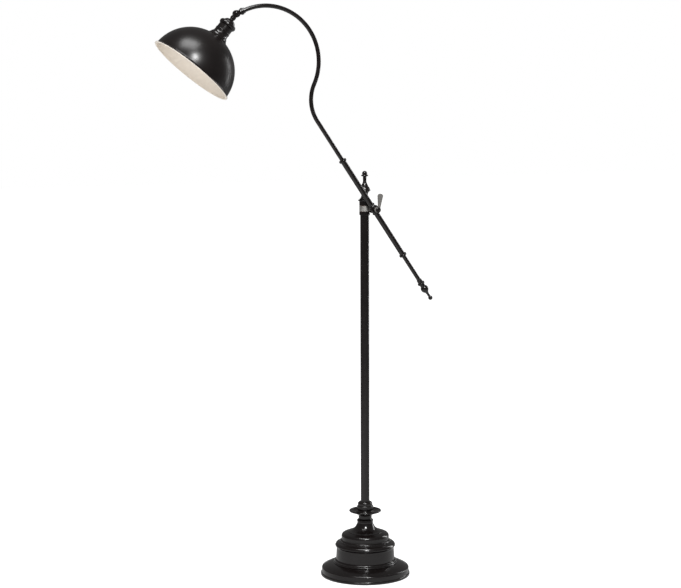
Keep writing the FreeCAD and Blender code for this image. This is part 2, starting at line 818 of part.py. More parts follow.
def make_stem():
    ring("stem_tube", "stem_bore", "stem_radius", "stem_seat + seat_gap", "stem_top")

    turned("lower_collar", [
        ("stem_radius + fit_gap", "collar_low"),
        ("collar_radius - edge_break", "collar_low"),
        ("collar_radius", "collar_low + edge_break"),
        ("collar_radius", "collar_high - edge_break"),
        ("collar_radius - edge_break", "collar_high"),
        ("journal_radius + fit_gap", "collar_high"),
        ("journal_radius + fit_gap", "collar_high - collar_roof"),
        ("stem_radius + fit_gap", "collar_high - collar_roof"),
    ])

    # The spigot plugs the stem, carries the strap on its journal and ends in a
    # stud that the cap and the finial screw down on.
    shoulder = "strap_high + thrust_thickness / 2"
    turned("stem_spigot", [
        ("0", "stem_top - plug_depth"),
        ("stem_bore - fit_gap - 1.5", "stem_top - plug_depth"),
        ("stem_bore - fit_gap", "stem_top - plug_depth + 1.5"),
        ("stem_bore - fit_gap", "stem_top + 0.3"),
        ("journal_radius", "stem_top + 0.3"),
        ("journal_radius", shoulder),
        ("cap_bore_radius", shoulder),
        ("cap_bore_radius", "cap_top - 0.3"),
        ("stud_radius", "cap_top - 0.3"),
        ("stud_radius", "finial_seat + finial_waist_high"),
        ("0", "finial_seat + finial_waist_high"),
    ])

    thrust_washer("thrust_washer_lower", "collar_high + seat_gap")
    thrust_washer("thrust_washer_upper", "strap_high + seat_gap")

    turned("upper_cap", [
        ("cap_bore_radius + fit_gap", "cap_low"),
        ("collar_radius - edge_break", "cap_low"),
        ("collar_radius", "cap_low + edge_break"),
        ("collar_radius", "cap_high"),
        ("cap_bead_radius", "cap_high + 0.8", "-3"),
        ("cap_bead_radius - 0.6", "cap_top - 0.4", "2.2"),
        ("collar_radius - edge_break", "cap_top"),
        ("cap_bore_radius + fit_gap", "cap_top"),
    ])
    make_finial()


def make_finial():
    """The turned finial, screwed on the spigot's stud, heights from its seat."""
    seat = "finial_seat"
    turned("top_finial", [
        ("stud_radius + fit_gap", seat),
        ("finial_foot_radius - 1.4", seat),
        ("finial_foot_radius", seat + " + finial_foot", "2"),
        ("finial_waist_radius", seat + " + finial_waist_low", "-13"),
        ("finial_waist_radius", seat + " + finial_waist_high"),
        ("finial_bell_radius", seat + " + finial_bell_low", "-10"),
        ("finial_bell_radius", seat + " + finial_bell_high", "2.6"),
        ("finial_shoulder_radius", seat + " + finial_shoulder", "14"),
        ("finial_ring_radius", seat + " + finial_ring_high", "1.9"),
        ("finial_neck_radius", seat + " + finial_neck_low", "-36"),
        ("finial_neck_radius", seat + " + finial_neck_high"),
        ("finial_button_radius", seat + " + finial_neck_high + 1.4", "-4.4"),
        ("finial_button_radius", seat + " + finial_neck_high + finial_button_height", "2.2"),
        ("finial_ball_foot", "finial_ball_low"),
        ("0", "finial_ball_centre + finial_ball_radius", "finial_ball_radius"),
        ("0", seat + " + finial_waist_high + 2"),
        ("stud_radius + fit_gap", seat + " + finial_waist_high + 2"),
    ])


# --------------------------------------------------------------------------
# Swivel strap
# --------------------------------------------------------------------------
def make_strap():
    """A split ring round the journal with two ears that the pivot pin passes."""
    strap = new_piece("clamp_strap")
    sketch = new_sketch(strap, "strap_ring", "XY_Plane", "strap_low")
    circle(sketch, "collar_radius")
    extrude(strap, "strap_band", sketch, "strap_height")

    ears = new_sketch(strap, "ear_shape", "XZ_Plane", "-ear_front")
    reach = "pivot_reach"
    outline(ears, [
        ("0", "strap_low"),
        (reach, "strap_low"),
        (reach + " + ear_round", "pivot_height", "strap_height / 2"),
        (reach, "strap_high", "strap_height / 2"),
        ("0", "strap_high"),
    ])
    extrude(strap, "ear_block", ears, "2 * ear_front")

    drill(strap, "strap_bore", "XY_Plane", "journal_radius + journal_gap",
          "2 * (strap_high + 1)")
    split = new_sketch(strap, "split_shape", "XY_Plane", "strap_low - 1")
    outline(split, [
        ("0", "-split_gap / 2"), ("pivot_reach + ear_round + 2", "-split_gap / 2"),
        ("pivot_reach + ear_round + 2", "split_gap / 2"), ("0", "split_gap / 2"),
    ])
    extrude(strap, "strap_split", split, "strap_height + 2", back=True, cut=True)
    drill(strap, "ear_hole", "XZ_Plane", "pivot_pin_radius + journal_gap",
          "4 * ear_front", "pivot_reach", "pivot_height")


# --------------------------------------------------------------------------
# Eye that holds the arm, with its pivot pin, washers and nut
# --------------------------------------------------------------------------
def make_eye():
    """A turned body that the arm passes across, with a pin through the strap's ears."""
    eye = new_piece("arm_eye")
    revolve(eye, "eye_turn", [
        ("0", "-acorn_seat - acorn_height * 0.7"),
        ("pivot_pin_radius", "-acorn_seat - acorn_height * 0.7"),
        ("pivot_pin_radius", "-pin_stop"),
        ("eye_boss_radius", "-pin_stop"),
        ("eye_boss_radius", "-eye_back"),
        ("eye_radius - 1.5", "-eye_back"),
        ("eye_radius", "1.5 - eye_back", "1.52"),
        ("eye_radius", "eye_front - 4"),
        ("eye_radius - 4", "eye_front", "4.05"),
        ("0", "eye_front"),
    ], about="Y")
    drill(eye, "eye_cross_bore", "XY_Plane", "eye_bore", "4 * eye_radius")
    drill(eye, "lever_thread", "XZ_Plane", "lever_screw_radius + fit_gap",
          "eye_front + 1", both=False, back=True)
    place_on_arm(eye)

    for label, seat in (("fibre_washer_front", "pin_stop + washer_gap"),
                        ("fibre_washer_back", "ear_back + washer_gap")):
        washer = ring(label, "pivot_pin_radius + fit_gap", "eye_boss_radius",
                      "-(" + seat + " + fibre_thickness)", "-(" + seat + ")", about="Y")
        place_on_arm(washer)

    nut = turned("pivot_nut", [
        ("pivot_pin_radius + fit_gap", "-acorn_seat"),
        ("pivot_pin_radius + fit_gap", "-acorn_seat - acorn_height * 0.75"),
        ("0", "-acorn_seat - acorn_height * 0.75"),
        ("0", "-acorn_seat - acorn_height"),
        ("acorn_radius - 1.2", "-acorn_seat - acorn_height * 0.45",
         dome("acorn_radius - 1.2", "acorn_height * 0.55")),
        ("acorn_radius", "-acorn_seat - acorn_height * 0.4"),
        ("acorn_radius", "-acorn_seat"),
    ], about="Y")
    place_on_arm(nut)


def make_bush():
    """A slotted plastic bush between the eye and the arm's sleeve."""
    bush = new_piece("arm_bush")
    revolve(bush, "bush_turn", [
        ("bush_bore", "-bush_reach - bush_flange"),
        ("bush_flange_radius - edge_break", "-bush_reach - bush_flange"),
        ("bush_flange_radius", "-bush_reach - bush_flange + edge_break"),
        ("bush_flange_radius", "-bush_reach"),
        ("bush_radius", "-bush_reach"),
        ("bush_radius", "bush_reach"),
        ("bush_flange_radius", "bush_reach"),
        ("bush_flange_radius", "bush_reach + bush_flange - edge_break"),
        ("bush_flange_radius - edge_break", "bush_reach + bush_flange"),
        ("bush_bore", "bush_reach + bush_flange"),
    ])
    slot = new_sketch(bush, "slot_shape", "XY_Plane")
    box_outline(slot, "-bush_slot / 2", "bush_slot / 2", "0", "bush_flange_radius + 1")
    extrude(bush, "bush_slot_cut", slot, "3 * bush_reach", both=True, cut=True)
    place_on_arm(bush)


def box_outline(sketch, left, right, low, high):
    outline(sketch, [(left, low), (right, low), (right, high), (left, high)])


# --------------------------------------------------------------------------
# Arm
# --------------------------------------------------------------------------
def make_arm():
    sleeve = ring("arm_sleeve", "sleeve_bore", "sleeve_radius", "-sleeve_down", "sleeve_up")
    place_on_arm(sleeve)
    make_sleeve_ring("upper", "sleeve_up - ring_thickness")
    make_sleeve_ring("lower", "-sleeve_down")
    make_gooseneck()


def make_sleeve_ring(where, low):
    """A rounded stop ring on the sleeve's end, with its grub screw at the back."""
    label = "sleeve_ring_" + where
    collar = turned(label, [
        ("sleeve_radius + fit_gap", low),
        ("ring_radius - ring_edge", low),
        ("ring_radius", low + " + ring_edge", "ring_edge * 1.02"),
        ("ring_radius", low + " + ring_thickness - ring_edge"),
        ("ring_radius - ring_edge", low + " + ring_thickness", "ring_edge * 1.02"),
        ("sleeve_radius + fit_gap", low + " + ring_thickness"),
    ])
    middle = low + " + ring_thickness / 2"
    drill(collar, label + "_hole", "XZ_Plane", "grub_radius + fit_gap",
          "ring_radius + 1", "0", middle, both=False)
    place_on_arm(collar)
    grub = make_grub("ring_grub_" + where, middle, "sleeve_radius", "ring_radius - 0.6")
    place_on_arm(grub)


def make_grub(label, height, inner, outer):
    """A grub screw that lies square to the axis, pointing in from the back."""
    grub = new_piece(label)
    sketch = new_sketch(grub, label + "_circle", "XZ_Plane", "-(" + outer + ")")
    circle(sketch, "grub_radius", "0", height)
    extrude(grub, label + "_body", sketch, outer + " - " + inner + " - seat_gap")
    key = new_sketch(grub, label + "_key", "XZ_Plane", "-(" + outer + ")")
    circle(key, "grub_radius * 0.45", "0", height)
    extrude(grub, label + "_socket", key, "1", back=True, cut=True)
    return grub


def make_gooseneck():
    """One tube: the straight that the sleeve holds, a crook and the long bow."""
    tube = new_piece("gooseneck_tube")
    path = new_sketch(tube, "tube_path", "XZ_Plane")
    low = FreeCAD.Vector(0, -number("straight_down"), 0)
    high = FreeCAD.Vector(0, number("straight_up"), 0)
    crook = number("crook_radius")
    bow = number("bow_radius")
    bend = math.radians(number("crook_angle"))
    sweep = math.radians(number("bow_angle"))
    axis = FreeCAD.Vector(0, 0, 1)
    crook_centre = FreeCAD.Vector(crook, high.y, 0)
    outward = FreeCAD.Vector(-math.cos(bend), math.sin(bend), 0)
    bow_centre = crook_centre + outward * (crook + bow)
    path.addGeometry(Part.LineSegment(low, high), False)
    path.addGeometry(
        Part.ArcOfCircle(Part.Circle(crook_centre, axis, crook), math.pi - bend, math.pi), False
    )
    path.addGeometry(
        Part.ArcOfCircle(Part.Circle(bow_centre, axis, bow), -bend, sweep - bend), False
    )
    ahead = FreeCAD.Vector(-math.sin(sweep - bend), math.cos(sweep - bend), 0)
    bow_end = bow_centre + FreeCAD.Vector(ahead.y, -ahead.x, 0) * bow
    tail = Part.LineSegment(bow_end, bow_end + ahead * number("tube_end"))
    path.addGeometry(tail, False)
    path.addConstraint(Sketcher.Constraint("PointOnObject", 0, 1, -2))
    path.addConstraint(Sketcher.Constraint("PointOnObject", 0, 2, -2))
    fix(path, "DistanceY", "-straight_down", -1, 1, 0, 1)
    fix(path, "DistanceY", "straight_up", -1, 1, 0, 2)
    path.addConstraint(Sketcher.Constraint("Tangent", 0, 2, 1, 2))
    path.addConstraint(Sketcher.Constraint("Tangent", 1, 1, 2, 1))
    path.addConstraint(Sketcher.Constraint("Tangent", 2, 2, 3, 1))
    fix(path, "Distance", "tube_end", 3)
    fix(path, "Radius", "crook_radius", 1)
    fix(path, "Radius", "bow_radius", 2)
    fix(path, "Angle", "crook_angle", 1)
    fix(path, "Angle", "bow_angle", 2)

    section = new_sketch(tube, "tube_section", "XY_Plane", "-straight_down")
    circle(section, "rod_radius")
    circle(section, "rod_radius - rod_wall")
    pipe = tube.newObject("PartDesign::AdditivePipe", "tube_sweep")
    pipe.Profile = section
    pipe.Spine = (path, ["Edge1", "Edge2", "Edge3", "Edge4"])
    place_on_arm(tube)


def make_tail():
    """Ring, finial and the cord's bush at the arm's lower end."""
    collar = turned("tail_ring", [
        ("rod_radius + fit_gap", "-tail_ring_end"),
        ("rod_radius + fit_gap", "-ferrule_start"),
        ("ferrule_radius - edge_break", "-ferrule_start"),
        ("ferrule_radius", "-ferrule_start - edge_break"),
        ("ferrule_radius", "-tail_ring_start"),
        ("tail_ring_radius - ring_edge", "-tail_ring_start"),
        ("tail_ring_radius", "-tail_ring_start - ring_edge", "-ring_edge * 1.02"),
        ("tail_ring_radius", "-tail_ring_end + ring_edge"),
        ("tail_ring_radius - ring_edge", "-tail_ring_end", "-ring_edge * 1.02"),
    ])
    place_on_arm(collar)

    finial = turned("tail_finial", [
        ("0", "-tail_ball_centre - tail_ball_radius"),
        ("tail_stem_radius - 0.4", "-tail_ball_end", "tail_ball_radius"),
        ("tail_stem_radius", "-tail_stem_start"),
        ("bulb_radius - 4.3", "-bulb_end - 1.4", "-16"),
        ("bulb_radius - 4.3", "-bulb_start + 0.8", "bulb_radius"),
        ("tail_neck_radius", "-bulb_start + 2.6"),
        ("tail_neck_radius", "-tail_ring_end - seat_gap"),
        ("rod_radius", "-tail_ring_end - seat_gap"),
        ("rod_radius", "-straight_down - seat_gap"),
        ("cord_bore", "-straight_down - seat_gap"),
        ("cord_bore", "-(bulb_start + bulb_end) / 2"),
        ("0", "-(bulb_start + bulb_end) / 2"),
    ])
    middle = "-(bulb_start + bulb_end) / 2"
    drill(finial, "cord_hole", "XZ_Plane", "inlet_radius + fit_gap", "bulb_radius + 4",
          "0", middle, both=False)
    place_on_arm(finial)

    bush = new_piece("cord_bush")
    flange = new_sketch(bush, "bush_flange_circle", "XZ_Plane", "-(bulb_radius + inlet_flange)")
    circle(flange, "inlet_flange_radius", "0", middle)
    extrude(bush, "cord_bush_flange", flange, "inlet_flange")
    spigot = new_sketch(bush, "bush_spigot_circle", "XZ_Plane", "-bulb_radius - 0.1")
    circle(spigot, "inlet_radius", "0", middle)
    extrude(bush, "cord_bush_spigot", spigot, "bulb_radius - cord_bore - 1")
    drill(bush, "cord_bush_bore", "XZ_Plane", "inlet_bore", "2 * bulb_radius + 8", "0", middle,
          both=False)
    place_on_arm(bush)


# --------------------------------------------------------------------------
# Clamping lever
# --------------------------------------------------------------------------
def make_lever():
    """Screw, handle and knob in front of the eye; the screw presses a small pad."""
    pad = ring("pressure_pad", "0", "lever_screw_radius", "pad_start",
               "pad_start + pad_height", about="Y")
    place_on_pivot(pad)

    screw = turned("lever_screw", [
        ("0", "screw_tip"),
        ("lever_screw_radius - 0.5", "screw_tip"),
        ("lever_screw_radius", "screw_tip + 0.5"),
        ("lever_screw_radius", "hub_start"),
        ("hub_neck_radius", "hub_start"),
        ("hub_neck_radius", "hub_neck_end"),
        ("hub_radius", "hub_neck_end + 1.2", "-3"),
        ("hub_radius", "handle_back - seat_gap"),
        ("handle_bore - fit_gap", "handle_back - seat_gap"),
        ("handle_bore - fit_gap", "knob_front - 1.6"),
        ("0", "knob_front - 1.6"),
    ], about="Y")
    place_on_pivot(screw)

    handle = new_piece("lever_handle")
    boss = new_sketch(handle, "handle_boss_circle", "XZ_Plane", "handle_back")
    circle(boss, "handle_boss_radius")
    extrude(handle, "handle_boss", boss, "handle_thickness")
    grip = new_sketch(handle, "grip_shape", "XZ_Plane", "handle_back")
    outline(grip, [
        ("root_reach - root_radius", "2"),
        ("root_reach + 1", "2"),
        ("root_reach + root_radius", "root_rise"),
        ("grip_reach + grip_radius", "grip_rise - grip_radius"),
        ("grip_reach - grip_radius", "grip_rise - grip_radius", "grip_radius * 1.02"),
        ("root_reach - root_radius", "root_rise"),
    ])
    extrude(handle, "handle_grip", grip, "handle_thickness")
    drill(handle, "handle_hole", "XZ_Plane", "handle_bore", "3 * knob_front")
    place_on_pivot(handle)

    knob = turned("lever_knob", [
        ("handle_bore", "knob_back"),
        ("handle_bore", "knob_front - 1.4"),
        ("0", "knob_front - 1.4"),
        ("0", "knob_front"),
        ("knob_radius - 2.2", "knob_front - 0.8", dome("knob_radius - 2.2", "0.8")),
        ("knob_radius", "knob_front - 2.6", "2.4"),
        ("knob_radius - 0.9", "knob_back"),
    ], about="Y")
    place_on_pivot(knob)


# --------------------------------------------------------------------------
# Knuckle between arm and shade
# --------------------------------------------------------------------------
def knuckle_half(label, depth, sign, profile):
    """A flat cheek whose front lies at the given depth, a web and a turned end."""
    half = turned(label, profile)
    cheek = new_sketch(half, label + "_cheek_circle", "XZ_Plane", depth)
    circle(cheek, "knuckle_radius")
    extrude(half, label + "_cheek", cheek, "cheek_thickness")
    web = new_sketch(half, label + "_web_shape", "XZ_Plane", depth)
    low = "0" if sign > 0 else "-barrel_start - 1.5"
    high = "barrel_start + 1.5" if sign > 0 else "0"
    box_outline(web, "-web_width / 2", "web_width / 2", low, high)
    extrude(half, label + "_web", web, "cheek_thickness")
    drill(half, label + "_hole", "XZ_Plane", "knuckle_pin_radius + fit_gap", "40")
    return half


def make_knuckle():
    half = knuckle_half("knuckle_arm_half", "-cheek_out", 1, [
        ("0", "barrel_start"),
        ("barrel_radius - edge_break", "barrel_start"),
        ("barrel_radius", "barrel_start + edge_break"),
        ("barrel_radius", "barrel_ring_start"),
        ("barrel_ring_radius - ring_edge", "barrel_ring_start"),
        ("barrel_ring_radius", "barrel_ring_start + ring_edge", "ring_edge * 1.02"),
        ("barrel_ring_radius", "barrel_ring_top - ring_edge"),
        ("barrel_ring_radius - ring_edge", "barrel_ring_top", "ring_edge * 1.02"),
        ("barrel_radius", "barrel_ring_top"),
        ("barrel_radius", "barrel_end - edge_break"),
        ("barrel_radius - edge_break", "barrel_end"),
        ("rod_radius + fit_gap", "barrel_end"),
        ("rod_radius + fit_gap", "knuckle_reach - seat_gap"),
        ("cord_bore", "knuckle_reach - seat_gap"),
        ("cord_bore", "barrel_start + 3"),
        ("0", "barrel_start + 3"),
    ])
    height = "(barrel_ring_top + barrel_end) / 2"
    drill(half, "knuckle_grub_hole", "XZ_Plane", "grub_radius + fit_gap",
          "barrel_radius + 1", "0", height, both=False)
    place_on_tube_end(half)
    grub = make_grub("knuckle_grub", height, "rod_radius", "barrel_radius - 0.2")
    place_on_tube_end(grub)

    half = knuckle_half("knuckle_shade_half", "cheek_gap / 2", -1, [
        ("nipple_bore", "-nipple_end"),
        ("nipple_radius", "-nipple_end"),
        ("nipple_radius", "-head_neck_end"),
        ("head_neck_radius", "-head_neck_end"),
        ("head_neck_radius", "-neck_collar_end - 1"),
        ("neck_collar_radius", "-neck_collar_end", "-1.6"),
        ("neck_collar_radius", "-barrel_start - edge_break"),
        ("neck_collar_radius - edge_break", "-barrel_start"),
        ("0", "-barrel_start"),
        ("0", "-barrel_start - 3"),
        ("nipple_bore", "-barrel_start - 3"),
    ])
    place_on_head(half)

    screw = turned("knuckle_screw", [
        ("0", "-cheek_out - spring_thickness - pin_nut_height - 1.6"),
        ("knuckle_pin_radius", "-cheek_out - spring_thickness - pin_nut_height - 1.6"),
        ("knuckle_pin_radius", "cheek_out + washer_gap"),
        ("pin_head_radius", "cheek_out + washer_gap"),
        ("pin_head_radius", "cheek_out + washer_gap + pin_head_height - 1.2"),
        ("pin_head_radius - 1.6", "cheek_out + washer_gap + pin_head_height", "2.6"),
        ("0", "cheek_out + washer_gap + pin_head_height"),
    ], about="Y")
    slot = new_sketch(screw, "screw_slot_shape", "XZ_Plane",
                      "cheek_out + washer_gap + pin_head_height")
    box_outline(slot, "-pin_head_radius - 1", "pin_head_radius + 1",
                "-pin_slot / 2", "pin_slot / 2")
    extrude(screw, "screw_slot", slot, "pin_slot_depth", cut=True)
    place_on_head(screw)

    spring = ring("knuckle_washer", "knuckle_pin_radius + fit_gap", "spring_radius",
                  "-cheek_out - washer_gap - spring_thickness + 0.1", "-cheek_out - washer_gap",
                  about="Y")
    place_on_head(spring)

    nut = new_piece("knuckle_nut")
    sketch = new_sketch(nut, "knuckle_nut_hexagon", "XZ_Plane",
                        "-cheek_out - 2 * washer_gap - spring_thickness - pin_nut_height")
    hexagon(sketch, "pin_nut_width")
    extrude(nut, "knuckle_nut_body", sketch, "pin_nut_height")
    drill(nut, "knuckle_nut_bore", "XZ_Plane", "knuckle_pin_radius + fit_gap", "60")
    place_on_head(nut)


# --------------------------------------------------------------------------
# Head: cap, holder, gallery, shade and lampholder
# --------------------------------------------------------------------------
def make_head():
    wall = "socket_cap_wall"
    cap = turned("socket_cap", [
        ("nipple_radius + fit_gap", "-cap_start - " + wall),
        ("cap_shoulder_radius - 2 * " + wall, "-cap_shoulder - " + wall),
        ("cap_side_radius - " + wall, "-cap_side"),
        ("cap_side_radius - " + wall, "-brim_end"),
        ("holder_radius - holder_wall - fit_gap - " + wall, "-brim_end"),
        ("holder_radius - holder_wall - fit_gap - " + wall, "-cap_tail"),
        ("holder_radius - holder_wall - fit_gap", "-cap_tail"),
        ("holder_radius - holder_wall - fit_gap", "-brim_end"),
        ("brim_radius - brim_swell", "-brim_end"),
        ("brim_radius - brim_swell", "-brim_start",
         dome("(brim_end - brim_start) / 2", "brim_swell")),
        ("cap_side_radius + 1.8", "-brim_start"),
        ("cap_side_radius", "-cap_side", "-1.9"),
        ("cap_shoulder_radius", "-cap_shoulder", "12"),
        ("cap_crown_radius", "-cap_start", "6"),
        ("nipple_radius + fit_gap", "-cap_start"),
    ])
    place_on_head(cap)

    nut_top = "-cap_shoulder - " + wall + " - seat_gap"
    nut = ring("cap_nut", "nipple_radius + fit_gap", "cap_nut_radius",
               nut_top + " - cap_nut_height", nut_top)
    place_on_head(nut)

    holder = turned("holder_shell", [
        ("holder_radius - holder_wall", "-holder_end"),
        ("holder_ring_radius - 0.8", "-holder_end"),
        ("holder_ring_radius - 0.8", "-holder_end + holder_ring_height", "1.7"),
        ("holder_radius", "-holder_end + holder_ring_height + 0.8"),
        ("holder_radius", "-holder_start"),
        ("holder_radius - holder_wall", "-holder_start"),
    ])
    place_on_head(holder)

    gallery = turned("shade_gallery", [
        ("skirt_bore", "-skirt_end"),
        ("gallery_skirt_radius", "-skirt_end"),
        ("gallery_skirt_radius", "-skirt_end + 1.4"),
        ("gallery_waist_radius", "-gallery_waist", "-12"),
        ("gallery_top_radius", "-gallery_neck", "-14"),
        ("gallery_top_radius", "-gallery_start"),
        ("insulator_radius + 2 * seat_gap", "-gallery_start"),
        ("insulator_radius + 2 * seat_gap", "-gallery_start - gallery_wall"),
        ("skirt_radius + 2 * seat_gap", "-gallery_start - gallery_wall"),
        ("skirt_radius + 2 * seat_gap", "-gallery_neck - gallery_wall / 2"),
        ("gallery_waist_radius - gallery_wall", "-gallery_waist", "14"),
    ])
    place_on_head(gallery)
    make_shade()
    make_lampholder()


def make_shade():
    """A spun half-globe, open below, with a rolled lip and a hole in its crown."""
    rim = "-mouth_distance"
    rise = "-mouth_distance + lip_start"
    outer = "sqrt(shade_radius^2 - lip_start^2)"
    inner = "sqrt(shade_bore^2 - lip_start^2)"
    shade = turned("shade", [
        ("shade_hole_radius", "-shade_under"),
        (inner, rise, "-shade_bore"),
        ("lip_radius - lip_start + 1", rim),
        ("lip_radius - lip_thickness / 2", rim),
        ("lip_radius - lip_thickness / 2", rim + " + lip_thickness", "lip_thickness * 0.52"),
        (outer, rise, "-lip_start * 0.9"),
        ("shade_hole_radius", "-shade_top", "shade_radius"),
    ])
    place_on_head(shade)

    clamp = turned("shade_ring", [
        ("skirt_radius + fit_gap", "-ring_start - shade_ring_height"),
        ("shade_ring_radius - 1.5", "-ring_start - shade_ring_height"),
        ("shade_ring_radius", "-ring_start - shade_ring_height + 1.5", "1.55"),
        ("shade_ring_radius", "-ring_start"),
        ("skirt_radius + fit_gap", "-ring_start"),
    ])
    place_on_head(clamp)


def make_lampholder():
    body = new_piece("lampholder_body")
    seat = "-gallery_start - gallery_wall - seat_gap"
    revolve(body, "lampholder_turn", [
        ("0", "-lamp_seat"),
        ("liner_radius + fit_gap", "-lamp_seat"),
        ("liner_radius + fit_gap", "-insulator_end"),
        ("skirt_radius - 1", "-insulator_end"),
        ("skirt_radius", "-insulator_end + 1", "1.1"),
        ("skirt_radius", seat),
        ("insulator_radius", seat),
        ("insulator_radius", "-insulator_start - 1"),
        ("insulator_radius - 1", "-insulator_start"),
        ("0", "-insulator_start"),
    ])
    for side, name in (("-", "left"), ("", "right")):
        spot = side + "terminal_spread"
        drill(body, f"terminal_hole_{name}", "XY_Plane", "1.6", "2 * (insulator_start + 8)",
              spot, "0")
        drill(body, f"lead_hole_{name}", "XY_Plane", "lead_bore / 2", "3 * lamp_seat",
              "0", spot)
    place_on_head(body)

    liner = turned("lampholder_liner", [
        ("lamp_bore", "-liner_end"),
        ("liner_radius", "-liner_end"),
        ("liner_radius", "-liner_start"),
        ("lamp_bore", "-liner_start"),
    ])
    place_on_head(liner)

    contact = new_piece("centre_contact")
    strip = new_sketch(contact, "contact_strip", "XY_Plane", "-lamp_seat - contact_thickness - seat_gap")
    box_outline(strip, "-contact_width / 2", "contact_width / 2",
                "-contact_length / 2", "contact_length / 2")
    extrude(contact, "contact_base", strip, "contact_thickness")
    button = new_sketch(contact, "contact_button", "XY_Plane",
                        "-lamp_seat - contact_thickness - 3")
    circle(button, "contact_width * 0.36")
    extrude(contact, "contact_raised", button, "3")
    place_on_head(contact)

    for side, name in (("-", "left"), ("", "right")):
        spot = side + "terminal_spread"
        low = "-insulator_start"
        screw = turned("terminal_" + name, [
            ("0", low + " - 6"),
            ("1.5", low + " - 6"),
            ("1.5", low + " + seat_gap"),
            ("terminal_radius", low + " + seat_gap"),
            ("terminal_radius", low + " + terminal_height - edge_break"),
            ("terminal_radius - edge_break", low + " + terminal_height"),
            ("0", low + " + terminal_height"),
        ])
        place(screw, KNUCKLE_X + " + (" + spot + ") * cos(head_lean)", "-arm_offset",
              KNUCKLE_Z + " - (" + spot + ") * sin(head_lean)", (0, 1, 0), "head_lean")


# --------------------------------------------------------------------------
# Checking and writing
# --------------------------------------------------------------------------
def check_document():
    document.recompute()
    for thing in document.Objects:
        if "Invalid" in thing.State or "Error" in thing.State:
            raise RuntimeError(f"{thing.Name} failed: {thing.State}")
    for piece in PIECES:
        shape = piece.Shape
        if shape.isNull() or not shape.isValid() or len(shape.Solids) != 1:
            raise RuntimeError(f"{piece.Label} has no single valid solid")


def write_pieces():
    os.makedirs("parts", exist_ok=True)
    for piece in PIECES:
        piece.Shape.exportStep(os.path.join("parts", piece.Label + ".step"))


make_base()
make_base_fasteners()
make_turnings()
make_stem()
make_strap()
make_eye()
make_bush()
make_arm()
make_tail()
make_lever()
make_knuckle()
make_head()
check_document()
write_pieces()
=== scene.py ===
import json
import math

import bpy
from mathutils import Matrix, Vector

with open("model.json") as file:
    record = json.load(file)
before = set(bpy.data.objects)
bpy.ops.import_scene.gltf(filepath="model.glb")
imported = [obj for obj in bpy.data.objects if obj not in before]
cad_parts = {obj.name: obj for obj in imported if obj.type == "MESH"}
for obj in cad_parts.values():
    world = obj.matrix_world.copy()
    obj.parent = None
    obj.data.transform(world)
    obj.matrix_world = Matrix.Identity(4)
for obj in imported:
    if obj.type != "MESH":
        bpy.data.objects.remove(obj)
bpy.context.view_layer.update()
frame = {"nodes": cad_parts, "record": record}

# A black floor lamp on a stepped round base, with a long curved arm in front of
# the stem and a half-globe shade that is cream inside. Metres, the floor at Z = 0
# under the stem, the shade towards -X and the arm in front, towards -Y.

MM = 0.001

# --------------------------------------------------------------------------
# Camera, at the photograph's place
# --------------------------------------------------------------------------
IMAGE_WIDTH = 681.0
FOCAL_PIXELS = 1950.0
SENSOR_WIDTH = 36.0
CAMERA_HEIGHT = 1.518
CAMERA_DISTANCE = 5.446
CAMERA_ASIDE = -0.0685
CAMERA_TILT = 7.42
CAMERA_ROLL = -0.18
LAMP_TURN = 19.0


def make_camera():
    turn = math.radians(LAMP_TURN)
    across = Vector((math.cos(turn), -math.sin(turn), 0))
    away = Vector((math.sin(turn), math.cos(turn), 0))
    place = across * CAMERA_ASIDE - away * CAMERA_DISTANCE
    place.z = CAMERA_HEIGHT
    lens = bpy.data.cameras.new("camera")
    lens.sensor_width = SENSOR_WIDTH
    lens.lens = FOCAL_PIXELS * SENSOR_WIDTH / IMAGE_WIDTH
    lens.clip_start = 0.05
    lens.clip_end = 60.0
    camera = bpy.data.objects.new("camera", lens)
    pan = Matrix.Rotation(-turn, 4, "Z")
    tilt = Matrix.Rotation(math.radians(90 - CAMERA_TILT), 4, "X")
    roll = Matrix.Rotation(math.radians(CAMERA_ROLL), 4, "Z")
    camera.matrix_world = Matrix.Translation(place) @ pan @ tilt @ roll
    bpy.context.collection.objects.link(camera)
    bpy.context.scene.camera = camera


# --------------------------------------------------------------------------
# Shader groups shared by the finishes
# --------------------------------------------------------------------------
def new_group(name, inputs, outputs):
    """A node group with float or colour sockets, given as {name: value}."""
    group = bpy.data.node_groups.new(name, "ShaderNodeTree")
    for label, value in inputs.items():
        kind = "NodeSocketColor" if isinstance(value, tuple) else "NodeSocketFloat"
        socket = group.interface.new_socket(label, in_out="INPUT", socket_type=kind)
        socket.default_value = value
    for label, kind in outputs.items():
        group.interface.new_socket(label, in_out="OUTPUT", socket_type=kind)
    start = group.nodes.new("NodeGroupInput")
    end = group.nodes.new("NodeGroupOutput")
    return group, start, end


def math_node(tree, operation, *values):
    """The result of a Math node; each value is a number or a socket."""
    node = tree.nodes.new("ShaderNodeMath")
    node.operation = operation
    for slot, value in enumerate(values):
        if isinstance(value, (int, float)):
            node.inputs[slot].default_value = value
        else:
            tree.links.new(value, node.inputs[slot])
    return node.outputs[0]


def mix_colour(tree, factor, first, second):
    """The colour between two, each given as a colour or a socket."""
    node = tree.nodes.new("ShaderNodeMix")
    node.data_type = "RGBA"
    for socket, value in zip((node.inputs[0], node.inputs[6], node.inputs[7]),
                             (factor, first, second)):
        if isinstance(value, (int, float, tuple)):
            socket.default_value = value
        else:
            tree.links.new(value, socket)
    return node.outputs[2]


def object_place(tree):
    """Where a spot lies on its piece, in metres."""
    return tree.nodes.new("ShaderNodeTexCoord").outputs["Object"]


